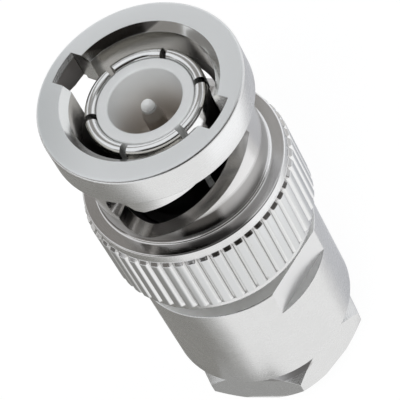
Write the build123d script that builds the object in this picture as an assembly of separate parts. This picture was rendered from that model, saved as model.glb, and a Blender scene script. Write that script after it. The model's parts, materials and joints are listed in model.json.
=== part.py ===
from build123d import *
import math
import os

# Straight coaxial bayonet plug with a screwed cable clamp, standing on its rear end.
# Millimetres. +Z points to the mating face, z = 0 is the rear face of the clamp nut.
# Azimuth 0 is +X and runs counter-clockwise seen from the mating face.

# clearances
running_gap = 0.05
sliding_gap = 0.02
seat_gap = 0.05
axial_play = 0.04
cut_margin = 0.5
edge_break = 0.12
match_tolerance = 0.001

# centre pin
pin_radius = 0.675
pin_tip_depth = 1.4
pin_tip_radius = 0.3
pin_taper_length = 1.3
pin_shank_radius = 1.0
pin_collar_radius = 1.4
pin_collar_half = 0.4
pin_tail_radius = 1.05
pin_tail_length = 7.6
pin_cup_radius = 0.6
pin_cup_depth = 3.4
solder_hole_radius = 0.35
solder_hole_offset = 1.3
solder_hole_azimuth = 25.0

# outer contact and insulators
contact_bore_radius = 3.3
contact_wall = 0.6
contact_bead = 0.2
contact_bead_length = 1.3
contact_tip_depth = 0.95
contact_tip_rounding = 0.32
contact_root_wall = 1.0
contact_slots = 6
contact_slot_width = 0.45
contact_slot_length = 6.4
contact_slot_azimuth = 165.0
insulator_face_depth = 1.1
insulator_wall = 0.78
insulator_recess_depth = 5.4
insulator_rim_chamfer = 0.15
insulator_joint_depth = 12.0
insulator_shoulder = 0.6
insulator_shoulder_depth = 2.6
gasket_section = 1.05
gasket_thickness = 1.0

# body
collar_wall = 0.9
collar_length = 2.35
gasket_well_depth = 1.85
neck_wall = 0.98
neck_length = 5.9
step_fillet = 0.2
barrel_wall = 1.5
barrel_length = 9.0
barrel_gap = 0.1
wrench_flat_depth = 0.6
wrench_flat_length = 2.4
wrench_flat_azimuth = -58.0

# coupling nut
bayonet_gap = 0.8
mouth_chamfer = 0.5
flange_face = 1.55
flange_length = 2.45
sleeve_wall = 1.1
sleeve_end_depth = 8.65
nut_shoulder_depth = 9.0
knurl_proud = 0.25
knurl_length = 5.5
knurl_teeth = 53
knurl_groove_depth = 0.26
knurl_groove_width = 0.4
band_length = 0.75
rim_wall = 0.75
rim_length = 0.55
rim_chamfer = 0.2
notch_width = 2.45
notch_depth = 1.3
notch_azimuth = 125.7
slot_width = 2.75
slot_lead = 12.8
slot_entry_depth = 3.8
slot_sweep = 82.7
detent_radius = 1.25
detent_turn = 6.0
detent_forward = 1.4
hump_offset = 1.07
hump_flank = [(0.0, 0.0), (0.7, 0.22), (1.16, 0.49), (1.7, 0.82)]
cam_slots = 2

# coupling spring stack
thrust_washer_thickness = 0.4
spring_strip = 0.22
spring_waves = 3
spring_amplitude = 0.42
spring_rings = 2
retainer_thickness = 0.7
retainer_groove_depth = 0.35
retainer_mouth_angle = 30.0
retainer_clearance = 0.25

# clamp nut
cable_bore = 6.4
cable_mouth_chamfer = 0.4
shank_length = 4.0
shank_wall = 1.75
shank_chamfer = 0.3
hex_inset = 0.75
hex_height = 3.4
hex_front_inset = 0.3
hex_front_slope = 54.0
hex_rear_overhang = 0.1
hex_rear_slope = 50.0
hex_turn = 25.1

# cable clamp stack
ferrule_bore_radius = 2.45
ferrule_wall = 0.85
ferrule_cone_rise = 0.7
ferrule_cone_length = 1.3
ferrule_flange_thickness = 0.8
cable_gasket_inset = 0.3
cable_gasket_web = 1.3
clamp_washer_thickness = 0.6
clamp_washer_lip = 0.4

# radii worked out from the sizes above
contact_stem_radius = contact_bore_radius + contact_wall
contact_tip_radius = contact_stem_radius + contact_bead
contact_root_radius = contact_bore_radius + contact_root_wall
insulator_recess_radius = contact_bore_radius - sliding_gap - insulator_wall
rear_insulator_radius = contact_bore_radius + insulator_shoulder
gasket_well_radius = contact_stem_radius + gasket_section
collar_radius = gasket_well_radius + collar_wall
neck_radius = rear_insulator_radius + sliding_gap + neck_wall
bayonet_bore_radius = contact_tip_radius + bayonet_gap
mouth_radius = bayonet_bore_radius + mouth_chamfer
flange_radius = mouth_radius + flange_face
sleeve_radius = bayonet_bore_radius + sleeve_wall
notch_radius = bayonet_bore_radius + notch_depth
nut_inner_radius = collar_radius + running_gap
retainer_inner_radius = neck_radius + retainer_clearance
retainer_outer_radius = nut_inner_radius + retainer_groove_depth - running_gap
rim_radius = nut_inner_radius + retainer_groove_depth + rim_wall
knurl_radius = rim_radius + knurl_proud
shank_radius = cable_bore / 2 + shank_wall
cavity_radius = shank_radius + running_gap
barrel_radius = cavity_radius + barrel_wall
wrench_flat_reach = barrel_radius - wrench_flat_depth
hex_flat_radius = barrel_radius - hex_inset
hex_corner_radius = hex_flat_radius / math.cos(math.radians(30))
hex_front_radius = hex_flat_radius - hex_front_inset
hex_rear_radius = hex_flat_radius + hex_rear_overhang
ferrule_cone_end = ferrule_bore_radius + ferrule_wall
ferrule_cone_root = ferrule_cone_end + ferrule_cone_rise
cable_gasket_radius = ferrule_bore_radius + cable_gasket_inset
clamp_washer_bore = cable_bore / 2 - clamp_washer_lip

# heights worked out from the sizes above
barrel_bottom = hex_height + barrel_gap
barrel_top = barrel_bottom + barrel_length
collar_bottom = barrel_top + neck_length
collar_top = collar_bottom + collar_length
well_floor = collar_top - gasket_well_depth
nut_top = collar_top + seat_gap + nut_shoulder_depth
nut_length = sleeve_end_depth + band_length + knurl_length + rim_length
nut_bottom = nut_top - nut_length
contact_tip = nut_top - contact_tip_depth
contact_root_bottom = well_floor - insulator_shoulder_depth
insulator_face = nut_top - insulator_face_depth
insulator_floor = insulator_face - insulator_recess_depth
insulator_joint = nut_top - insulator_joint_depth
pin_tip = nut_top - pin_tip_depth
shank_top = hex_height + shank_length
clamp_washer_bottom = shank_top + seat_gap
cable_gasket_bottom = clamp_washer_bottom + clamp_washer_thickness + seat_gap
ferrule_cone_bottom = cable_gasket_bottom + cable_gasket_web
ferrule_flange_bottom = ferrule_cone_bottom + ferrule_cone_length
cavity_floor = ferrule_flange_bottom + ferrule_flange_thickness + seat_gap
rear_insulator_bottom = cavity_floor + seat_gap
spring_top = collar_bottom - seat_gap - thrust_washer_thickness
spring_height = 2 * spring_amplitude + spring_strip
spring_bottom = spring_top - spring_rings * spring_height
retainer_top = spring_bottom - seat_gap
retainer_bottom = retainer_top - retainer_thickness


def turned(points):
    """Solid of revolution about Z from a closed outline of (radius, height) points."""
    outline = make_face(Polyline(*[(r, 0, z) for r, z in points], close=True))
    return revolve(outline, Axis.Z)


def ring(inner, outer, bottom, top):
    """Plain ring between two radii and two heights."""
    return turned([(inner, bottom), (outer, bottom), (outer, top), (inner, top)])


def rod(radius, bottom, top):
    """Plain round rod on the Z axis."""
    return Pos(0, 0, bottom) * Cylinder(radius, top - bottom, align=(Align.CENTER, Align.CENTER, Align.MIN))


def radial_rod(radius, azimuth, height, reach):
    """Round rod lying along a radius, from the axis outwards."""
    lying = Rot(0, 90, 0) * Cylinder(radius, reach, align=(Align.CENTER, Align.CENTER, Align.MIN))
    return Pos(0, 0, height) * (Rot(0, 0, azimuth) * lying)


def radial_prism(points, azimuth, height, reach):
    """Prism lying along a radius, from the axis outwards, with its section as (sideways, upwards) points."""
    turn = math.radians(azimuth)
    outward = Vector(math.cos(turn), math.sin(turn), 0)
    sideways = Vector(-math.sin(turn), math.cos(turn), 0)
    section = Plane(origin=(0, 0, height), x_dir=sideways, z_dir=outward)
    return extrude(section * make_face(Polyline(*points, close=True)), reach, dir=outward)


def edges_at(solid, radius, height):
    """Round edges of a turned piece that have this radius and lie at this height."""
    rounds = solid.edges().filter_by(GeomType.CIRCLE)
    found = rounds.filter_by(lambda e: abs(e.radius - radius) < match_tolerance)
    return found.filter_by(lambda e: abs(e.center().Z - height) < match_tolerance)


def nut_blank():
    """Turned blank of the coupling nut: flange, sleeve, plain band, knurled stretch and rim."""
    flange_bottom = nut_top - flange_length
    step = nut_top - sleeve_end_depth
    knurl_top = step - band_length
    knurl_bottom = knurl_top - knurl_length
    shoulder = nut_top - nut_shoulder_depth
    blank = turned([
        (mouth_radius, nut_top),
        (flange_radius - edge_break, nut_top),
        (flange_radius, nut_top - edge_break),
        (flange_radius, flange_bottom),
        (sleeve_radius, flange_bottom),
        (sleeve_radius, step),
        (rim_radius - edge_break, step),
        (rim_radius, step - edge_break),
        (rim_radius, knurl_top),
        (knurl_radius, knurl_top - knurl_proud),
        (knurl_radius, knurl_bottom + knurl_proud),
        (rim_radius, knurl_bottom),
        (rim_radius, nut_bottom + rim_chamfer),
        (rim_radius - rim_chamfer, nut_bottom),
        (nut_inner_radius + edge_break, nut_bottom),
        (nut_inner_radius, nut_bottom + edge_break),
        (nut_inner_radius, shoulder),
        (bayonet_bore_radius, shoulder),
        (bayonet_bore_radius, nut_top - mouth_chamfer),
    ])
    return fillet(edges_at(blank, sleeve_radius, step), step_fillet)


def knurl_cutter():
    """One straight V groove along the knurled stretch, at azimuth 0."""
    root = knurl_radius - knurl_groove_depth
    outer = knurl_radius + knurl_groove_depth
    bottom = nut_bottom + rim_length
    section = make_face(Polyline(
        (root, 0, bottom),
        (outer, knurl_groove_width, bottom),
        (outer, -knurl_groove_width, bottom),
        close=True,
    ))
    return extrude(section, knurl_length, dir=(0, 0, 1))


def cam_slot(azimuth):
    """Helical cam slot through the sleeve wall, with its round end, forward detent and the low hump between."""
    reach = sleeve_radius + cut_margin
    half_entry = math.degrees(math.asin(notch_width / 2 / sleeve_radius))
    middle = (bayonet_bore_radius + sleeve_radius) / 2
    depth = sleeve_radius - bayonet_bore_radius + 2 * cut_margin
    fall = slot_lead * (slot_sweep + half_entry) / 360
    end_azimuth = azimuth - slot_sweep
    end_height = nut_top - slot_entry_depth - slot_lead * slot_sweep / 360
    path = Pos(0, 0, end_height) * (Rot(0, 0, end_azimuth) * Helix(slot_lead, fall, middle))
    start = path @ 0
    section = Plane(origin=start, x_dir=Vector(start.X, start.Y, 0), z_dir=path % 0)
    groove = sweep(section * Rectangle(depth, slot_width), path=path, is_frenet=True)
    end = radial_rod(slot_width / 2, end_azimuth, end_height, reach)
    detent = radial_rod(detent_radius, end_azimuth - detent_turn, end_height + detent_forward, reach)
    slope = slot_lead / (2 * math.pi * sleeve_radius)
    hump_top = slot_width / 2 * math.sqrt(1 + slope * slope) + slope * hump_offset
    flank = [(hump_offset - run, hump_top + rise) for run, rise in hump_flank]
    flank += [(flank[-1][0], 0), (hump_offset, 0)]
    return [groove, end, detent, radial_prism(flank, end_azimuth, end_height, reach)]


def entry_notch(azimuth):
    """Straight stud entry from the front face down into the cam slot."""
    inner = bayonet_bore_radius - cut_margin
    bottom = nut_top - slot_entry_depth
    height = nut_top + cut_margin - bottom
    block = Box(notch_radius, notch_width, height, align=(Align.MIN, Align.CENTER, Align.MIN))
    block = Pos(inner, 0, bottom) * block
    return Rot(0, 0, azimuth) * (block & rod(notch_radius, bottom, nut_top + cut_margin))


def coupling_nut():
    """Bayonet coupling nut with its cam slots, knurled grip and retainer groove."""
    cutters = [ring(
        nut_inner_radius - cut_margin,
        nut_inner_radius + retainer_groove_depth,
        retainer_bottom - axial_play,
        retainer_top + axial_play,
    )]
    for i in range(knurl_teeth):
        cutters.append(Rot(0, 0, 360 * i / knurl_teeth) * knurl_cutter())
    for i in range(cam_slots):
        azimuth = notch_azimuth + 360 * i / cam_slots
        cutters.append(entry_notch(azimuth))
        cutters += cam_slot(azimuth)
    return nut_blank() - cutters


def retaining_ring():
    """Split ring in the coupling nut's groove, which carries the wave springs."""
    whole = ring(retainer_inner_radius, retainer_outer_radius, retainer_bottom, retainer_top)
    gap = 2 * retainer_outer_radius * math.sin(math.radians(retainer_mouth_angle / 2))
    height = retainer_thickness + 2 * cut_margin
    mouth = Box(retainer_outer_radius + cut_margin, gap, height, align=(Align.MIN, Align.CENTER, Align.MIN))
    return whole - Pos(0, 0, retainer_bottom - cut_margin) * mouth


def thrust_washer():
    """Flat ring between the body's collar and the wave springs."""
    return ring(
        neck_radius + running_gap,
        nut_inner_radius - running_gap,
        spring_top,
        spring_top + thrust_washer_thickness,
    )


def wave_line(radius, middle, side):
    """Closed curve on a cylinder whose height follows a sine of the azimuth."""
    steps = 8 * spring_waves
    points = []
    for i in range(steps):
        turn = 2 * math.pi * i / steps
        height = middle + side * spring_amplitude * math.sin(spring_waves * turn)
        points.append((radius * math.cos(turn), radius * math.sin(turn), height))
    return Edge.make_spline([Vector(*p) for p in points], periodic=True)


def wave_spring(level):
    """Wavy strip ring, crest to crest with the next one."""
    inner = neck_radius + 2 * running_gap
    outer = nut_inner_radius - 2 * running_gap
    middle = spring_bottom + level * spring_height + spring_height / 2
    side = 1 if level % 2 == 0 else -1
    low = [wave_line(r, middle - spring_strip / 2, side) for r in (inner, outer)]
    high = [wave_line(r, middle + spring_strip / 2, side) for r in (inner, outer)]
    pairs = [(low[0], low[1]), (low[1], high[1]), (high[1], high[0]), (high[0], low[0])]
    return Solid(Shell([Face.make_surface_from_curves(a, b) for a, b in pairs]))


def body():
    """Turned body: barrel with two wrench flats, neck, collar, gasket well and stepped bore."""
    shell = turned([
        (cavity_radius, barrel_bottom),
        (barrel_radius - edge_break, barrel_bottom),
        (barrel_radius, barrel_bottom + edge_break),
        (barrel_radius, barrel_top - edge_break),
        (barrel_radius - edge_break, barrel_top),
        (neck_radius, barrel_top),
        (neck_radius, collar_bottom),
        (collar_radius, collar_bottom),
        (collar_radius, collar_top),
        (gasket_well_radius, collar_top),
        (gasket_well_radius, well_floor),
        (contact_root_radius, well_floor),
        (contact_root_radius, contact_root_bottom),
        (rear_insulator_radius + sliding_gap, contact_root_bottom),
        (rear_insulator_radius + sliding_gap, cavity_floor),
        (cavity_radius, cavity_floor),
    ])
    flat = Box(barrel_radius, 2 * barrel_radius, wrench_flat_length, align=(Align.MIN, Align.CENTER, Align.MAX))
    flat = Pos(wrench_flat_reach, 0, barrel_top) * flat
    flats = [Rot(0, 0, wrench_flat_azimuth + 180 * i) * flat for i in range(2)]
    return shell - flats


def outer_contact():
    """Spring contact tube: slotted fingers with a raised tip, on a root pressed into the body."""
    bead_bottom = contact_tip - contact_bead_length
    tube = turned([
        (contact_bore_radius, contact_root_bottom),
        (contact_root_radius, contact_root_bottom),
        (contact_root_radius, well_floor),
        (contact_stem_radius, well_floor),
        (contact_stem_radius, bead_bottom - (contact_tip_radius - contact_stem_radius)),
        (contact_tip_radius, bead_bottom),
        (contact_tip_radius, contact_tip),
        (contact_bore_radius, contact_tip),
    ])
    ends = edges_at(tube, contact_tip_radius, contact_tip) + edges_at(tube, contact_bore_radius, contact_tip)
    tube = fillet(ends, contact_tip_rounding)
    slot = Box(2 * contact_tip_radius, contact_slot_width, contact_slot_length + cut_margin,
               align=(Align.MIN, Align.CENTER, Align.MIN))
    slot = Pos(0, 0, contact_tip - contact_slot_length) * slot
    turns = [contact_slot_azimuth + 360 * i / contact_slots for i in range(contact_slots)]
    return tube - [Rot(0, 0, turn) * slot for turn in turns]


def interface_gasket():
    """Sealing ring at the bottom of the gasket well, round the contact tube."""
    return ring(
        contact_stem_radius + sliding_gap,
        gasket_well_radius - sliding_gap,
        well_floor,
        well_floor + gasket_thickness,
    )


def front_insulator():
    """Insulating sleeve inside the contact tube, with the deep recess round the pin."""
    outer = contact_bore_radius - sliding_gap
    counterbore = insulator_joint + pin_collar_half + sliding_gap
    return turned([
        (pin_collar_radius + sliding_gap, insulator_joint),
        (outer, insulator_joint),
        (outer, insulator_face),
        (insulator_recess_radius + insulator_rim_chamfer, insulator_face),
        (insulator_recess_radius, insulator_face - insulator_rim_chamfer),
        (insulator_recess_radius, insulator_floor),
        (pin_shank_radius + sliding_gap, insulator_floor),
        (pin_shank_radius + sliding_gap, counterbore),
        (pin_collar_radius + sliding_gap, counterbore),
    ])


def rear_insulator():
    """Insulating plug behind the pin's collar, with a spigot into the contact tube."""
    counterbore = insulator_joint - pin_collar_half - sliding_gap
    return turned([
        (pin_tail_radius + sliding_gap, rear_insulator_bottom),
        (rear_insulator_radius, rear_insulator_bottom),
        (rear_insulator_radius, contact_root_bottom),
        (contact_bore_radius - sliding_gap, contact_root_bottom),
        (contact_bore_radius - sliding_gap, insulator_joint),
        (pin_collar_radius + sliding_gap, insulator_joint),
        (pin_collar_radius + sliding_gap, counterbore),
        (pin_tail_radius + sliding_gap, counterbore),
    ])


def centre_pin():
    """Centre contact: tapered pin, trapped collar and solder cup with its side hole."""
    tail_bottom = insulator_joint - pin_collar_half - pin_tail_length
    pin = turned([
        (0, tail_bottom + pin_cup_depth),
        (pin_cup_radius, tail_bottom + pin_cup_depth),
        (pin_cup_radius, tail_bottom),
        (pin_tail_radius, tail_bottom),
        (pin_tail_radius, insulator_joint - pin_collar_half),
        (pin_collar_radius, insulator_joint - pin_collar_half),
        (pin_collar_radius, insulator_joint + pin_collar_half),
        (pin_shank_radius, insulator_joint + pin_collar_half),
        (pin_shank_radius, insulator_floor),
        (pin_radius, insulator_floor),
        (pin_radius, pin_tip - pin_taper_length),
        (pin_tip_radius, pin_tip),
        (0, pin_tip),
    ])
    pin = fillet(edges_at(pin, pin_tip_radius, pin_tip), pin_tip_radius / 2)
    hole = radial_rod(solder_hole_radius, solder_hole_azimuth, tail_bottom + solder_hole_offset, 2 * pin_tail_radius)
    return pin - hole


def braid_ferrule():
    """Ring whose flange traps the cable's braid and whose cone spreads the cable gasket."""
    return turned([
        (ferrule_bore_radius, ferrule_cone_bottom),
        (ferrule_cone_end, ferrule_cone_bottom),
        (ferrule_cone_root, ferrule_flange_bottom),
        (cavity_radius - running_gap, ferrule_flange_bottom),
        (cavity_radius - running_gap, ferrule_flange_bottom + ferrule_flange_thickness),
        (ferrule_bore_radius, ferrule_flange_bottom + ferrule_flange_thickness),
    ])


def cable_gasket():
    """Rubber sleeve with a conical mouth that takes the ferrule's cone."""
    web_top = cable_gasket_bottom + cable_gasket_web - seat_gap
    return turned([
        (cable_gasket_radius, cable_gasket_bottom),
        (cavity_radius - running_gap, cable_gasket_bottom),
        (cavity_radius - running_gap, ferrule_flange_bottom - seat_gap),
        (ferrule_cone_root + seat_gap, ferrule_flange_bottom - seat_gap),
        (ferrule_cone_end + seat_gap, web_top),
        (cable_gasket_radius, web_top),
    ])


def clamp_washer():
    """Flat slip washer between the cable gasket and the clamp nut."""
    top = clamp_washer_bottom + clamp_washer_thickness
    return ring(clamp_washer_bore, cavity_radius - running_gap, clamp_washer_bottom, top)


def clamp_nut():
    """Hexagonal clamp nut with chamfered corners, a threaded shank and the cable bore."""
    front_drop = (hex_corner_radius - hex_front_radius) * math.tan(math.radians(hex_front_slope))
    rear_rise = (hex_corner_radius - hex_rear_radius) * math.tan(math.radians(hex_rear_slope))
    prism = extrude(RegularPolygon(hex_corner_radius, 6, rotation=hex_turn), hex_height)
    cones = turned([
        (0, 0),
        (hex_rear_radius, 0),
        (hex_corner_radius, rear_rise),
        (hex_corner_radius, hex_height - front_drop),
        (hex_front_radius, hex_height),
        (0, hex_height),
    ])
    shank = turned([
        (0, hex_height),
        (shank_radius, hex_height),
        (shank_radius, shank_top - shank_chamfer),
        (shank_radius - shank_chamfer, shank_top),
        (0, shank_top),
    ])
    bore = turned([
        (0, 0),
        (cable_bore / 2 + cable_mouth_chamfer, 0),
        (cable_bore / 2, cable_mouth_chamfer),
        (cable_bore / 2, shank_top),
        (0, shank_top),
    ])
    return (prism & cones) + shank - bore


nodes = {
    "coupling_nut": coupling_nut,
    "retaining_ring": retaining_ring,
    "thrust_washer": thrust_washer,
    "body": body,
    "outer_contact": outer_contact,
    "interface_gasket": interface_gasket,
    "front_insulator": front_insulator,
    "rear_insulator": rear_insulator,
    "centre_pin": centre_pin,
    "braid_ferrule": braid_ferrule,
    "cable_gasket": cable_gasket,
    "clamp_washer": clamp_washer,
    "clamp_nut": clamp_nut,
}

os.makedirs("parts", exist_ok=True)
for name, make in nodes.items():
    export_step(make(), f"parts/{name}.step")
for level in range(spring_rings):
    export_step(wave_spring(level), f"parts/wave_spring_{level + 1}.step")
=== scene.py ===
import json
import math
import bpy
import bmesh
import numpy as np
from mathutils import Matrix, Vector


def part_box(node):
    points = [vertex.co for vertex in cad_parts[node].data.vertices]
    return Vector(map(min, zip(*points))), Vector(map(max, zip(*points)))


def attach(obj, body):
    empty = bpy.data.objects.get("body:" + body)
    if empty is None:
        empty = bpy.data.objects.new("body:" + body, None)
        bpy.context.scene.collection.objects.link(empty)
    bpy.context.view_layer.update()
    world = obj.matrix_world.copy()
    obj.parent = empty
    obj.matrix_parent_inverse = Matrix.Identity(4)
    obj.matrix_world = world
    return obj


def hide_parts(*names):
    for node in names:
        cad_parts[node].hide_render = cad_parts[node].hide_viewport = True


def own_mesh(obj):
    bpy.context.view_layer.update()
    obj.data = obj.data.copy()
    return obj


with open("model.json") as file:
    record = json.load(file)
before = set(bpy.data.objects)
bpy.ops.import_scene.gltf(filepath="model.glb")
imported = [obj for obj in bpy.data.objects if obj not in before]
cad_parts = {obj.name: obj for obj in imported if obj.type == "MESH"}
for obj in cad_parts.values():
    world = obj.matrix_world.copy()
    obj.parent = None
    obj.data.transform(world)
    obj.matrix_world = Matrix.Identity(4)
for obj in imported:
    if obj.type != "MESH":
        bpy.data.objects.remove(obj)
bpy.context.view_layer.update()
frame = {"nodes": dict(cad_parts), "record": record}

mm = 0.001
sharpAngle = 32.0  # degrees: edges steeper than this stay sharp
aroundSteps = 192  # columns of a turned piece
edgeSoftness = 0.03  # millimetres over which a zone's edge fades
margin = 0.01  # millimetres that a mask reaches past the surface it is meant for
hair = 1e-4  # height of a sudden step, in millimetres
print("frame loaded, pieces:", len(frame["nodes"]))


# meshes worked out on grids, sizes in millimetres

def arcCorner(before, corner, after, radius, steps):
    # a corner cut by a circle tangent to both sides: centre lies on the bisector,
    # points run from one tangent point to the other at even turns
    a = (before - corner) / np.linalg.norm(before - corner)
    b = (after - corner) / np.linalg.norm(after - corner)
    half = math.acos(np.clip(a @ b, -1, 1)) / 2
    reach = radius / math.tan(half)
    centre = corner + (a + b) / np.linalg.norm(a + b) * radius / math.sin(half)
    start = corner + a * reach - centre
    sweep = math.pi - 2 * half
    turn = sweep if a[0] * b[1] - a[1] * b[0] < 0 else -sweep
    t = np.linspace(0, turn, steps + 1)
    x = start[0] * np.cos(t) - start[1] * np.sin(t)
    y = start[0] * np.sin(t) + start[1] * np.cos(t)
    return centre + np.stack([x, y], axis=1)


def outline(points, steps=4):
    # closed outline of (radius, height, rounding) corners
    flat = np.array([p[:2] for p in points], float)
    out = []
    for i, p in enumerate(points):
        if len(p) > 2 and p[2] > 0:
            out.append(arcCorner(flat[i - 1], flat[i], flat[(i + 1) % len(flat)], p[2], steps))
        else:
            out.append(flat[i:i + 1])
    return np.concatenate(out)


def meshObject(name, points, faces, sharp=sharpAngle):
    # points in millimetres, faces as rows of vertex numbers
    mesh = bpy.data.meshes.new(name)
    mesh.from_pydata((points * mm).tolist(), [], faces.tolist())
    bm = bmesh.new()
    bm.from_mesh(mesh)
    bmesh.ops.remove_doubles(bm, verts=bm.verts, dist=1e-8)
    bmesh.ops.recalc_face_normals(bm, faces=bm.faces)
    bm.to_mesh(mesh)
    bm.free()
    mesh.shade_smooth()
    mesh.set_sharp_from_angle(angle=math.radians(sharp))
    piece = bpy.data.objects.new(name, mesh)
    bpy.context.scene.collection.objects.link(piece)
    return piece


def gridFaces(rows, columns, wrapRows=True, wrapColumns=True):
    # four-sided faces between neighbouring points of a grid, which may close on itself either way
    i = np.arange(rows if wrapRows else rows - 1)
    j = np.arange(columns if wrapColumns else columns - 1)
    i, j = np.meshgrid(i, j, indexing="ij")
    i2, j2 = (i + 1) % rows, (j + 1) % columns
    corners = [i * columns + j, i2 * columns + j, i2 * columns + j2, i * columns + j2]
    return np.stack(corners, axis=-1).reshape(-1, 4)


def turned(name, profile, azimuths=None, shape=None, sharp=sharpAngle):
    # every outline point goes round the axis: x = r cos(phi), y = r sin(phi), z = height
    # shape(phi, r, z) may give another r and z for the whole grid
    if azimuths is None:
        azimuths = np.linspace(0, 2 * np.pi, aroundSteps, endpoint=False)
    phi, r = np.meshgrid(azimuths, profile[:, 0], indexing="ij")
    z = np.broadcast_to(profile[:, 1], r.shape)
    if shape:
        r, z = shape(phi, r, z)
    points = np.stack([r * np.cos(phi), r * np.sin(phi), z], axis=-1).reshape(-1, 3)
    return meshObject(name, points, gridFaces(len(azimuths), len(profile)), sharp)


def capped(name, rings):
    # closed tube through rings of points, with a face on each end: rings has shape (rings, points, 3)
    count, around = rings.shape[:2]
    faces = gridFaces(count, around, wrapRows=False)
    piece = meshObject(name, rings.reshape(-1, 3), faces)
    bm = bmesh.new()
    bm.from_mesh(piece.data)
    bmesh.ops.holes_fill(bm, edges=[e for e in bm.edges if e.is_boundary], sides=0)
    bmesh.ops.recalc_face_normals(bm, faces=bm.faces)
    bm.to_mesh(piece.data)
    bm.free()
    piece.data.set_sharp_from_angle(angle=math.radians(sharpAngle))
    return piece


def cutBy(piece, cutters):
    # the piece less each cutter, applied, with the cutters thrown away
    for cutter in cutters:
        mod = piece.modifiers.new("cut", "BOOLEAN")
        mod.operation, mod.solver, mod.object = "DIFFERENCE", "MANIFOLD", cutter
    bpy.context.view_layer.update()
    graph = bpy.context.evaluated_depsgraph_get()
    mesh = bpy.data.meshes.new_from_object(piece.evaluated_get(graph))
    piece.modifiers.clear()
    piece.data = mesh
    for cutter in cutters:
        bpy.data.objects.remove(cutter)
    mesh.set_sharp_from_angle(angle=math.radians(sharpAngle))
    return piece


def settle(piece, node, material):
    # the piece stands for the node, rides on its body and takes its finish
    piece.data.materials.clear()
    piece.data.materials.append(material)
    body = next(b for b, names in frame["record"]["behaviour"]["bodies"].items() if node in names)
    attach(piece, body)
    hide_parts(node)
    next(s["material_slot"] for s in frame["record"]["subparts"] if s["node"] == node)
    return piece


def heights(node):
    # lowest and highest z of the node's box, in millimetres
    low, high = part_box(node)
    return low[2] / mm, high[2] / mm


# shader maths

class Wire:
    # one socket or number, with the operators that add Math nodes
    def __init__(self, tree, socket):
        self.tree, self.socket = tree, socket

    def node(self, kind, settings=None, values=None, out=0):
        made = self.tree.nodes.new(kind)
        for key, value in (settings or {}).items():
            setattr(made, key, value)
        for key, value in (values or {}).items():
            if isinstance(value, Wire):
                self.tree.links.new(value.socket, made.inputs[key])
            else:
                made.inputs[key].default_value = value
        return Wire(self.tree, made.outputs[out])

    def maths(self, operation, a, b=None):
        values = {i: v for i, v in enumerate((a, b)) if v is not None}
        return self.node("ShaderNodeMath", {"operation": operation}, values)

    def __add__(self, other):
        return self.maths("ADD", self, other)

    def __radd__(self, other):
        return self.maths("ADD", other, self)

    def __sub__(self, other):
        return self.maths("SUBTRACT", self, other)

    def __rsub__(self, other):
        return self.maths("SUBTRACT", other, self)

    def __mul__(self, other):
        return self.maths("MULTIPLY", self, other)

    def __pow__(self, other):
        return self.maths("POWER", self, other)

    def above(self, edge, soft):
        # 0 below the edge and 1 above it, over a soft step
        return self.node("ShaderNodeMapRange", {"interpolation_type": "SMOOTHSTEP"},
                         {"Value": self, "From Min": edge - soft, "From Max": edge + soft})

    def between(self, low, high, soft):
        return self.above(low, soft) * (1 - self.above(high, soft))

    def blend(self, first, second):
        # colour that goes from first to second as this goes from 0 to 1
        mixed = self.tree.nodes.new("ShaderNodeMix")
        mixed.data_type = "RGBA"
        self.tree.links.new(self.socket, mixed.inputs[0])
        for place, colour in ((6, first), (7, second)):
            if isinstance(colour, Wire):
                self.tree.links.new(colour.socket, mixed.inputs[place])
            else:
                mixed.inputs[place].default_value = (*colour, 1)
        return Wire(self.tree, mixed.outputs[2])


def newMaterial(name):
    # a material with its shader, and wires for the position in millimetres: whole, and as x, y, z and radius
    material = bpy.data.materials.new(name)
    material.use_nodes = True
    tree = material.node_tree
    shader = tree.nodes["Principled BSDF"]
    start = Wire(tree, None)
    place = start.node("ShaderNodeTexCoord", out=3)
    scaled = start.node("ShaderNodeVectorMath", {"operation": "SCALE"}, {0: place, "Scale": 1 / mm})
    split = tree.nodes.new("ShaderNodeSeparateXYZ")
    tree.links.new(scaled.socket, split.inputs[0])
    x, y, z = (Wire(tree, o) for o in split.outputs)
    radius = (x * x + y * y) ** 0.5
    return material, tree, shader, start, scaled, (x, y, z, radius)


def plug(tree, shader, name, value):
    tree.links.new(value.socket, shader.inputs[name])


def zone(z, r, rough, calm, tint, toward=None, both=True, soft=edgeSoftness):
    # the surface between two heights and two radii, with its own roughness and tint;
    # calm is the share of the tool marks that it loses;
    # toward = (azimuth a, limit, softness) keeps it to where x cos a + y sin a passes the limit,
    # on both sides of the axis or on one
    return {"z": z, "r": r, "rough": rough, "calm": calm, "tint": tint,
            "toward": toward, "both": both, "soft": soft}


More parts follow.
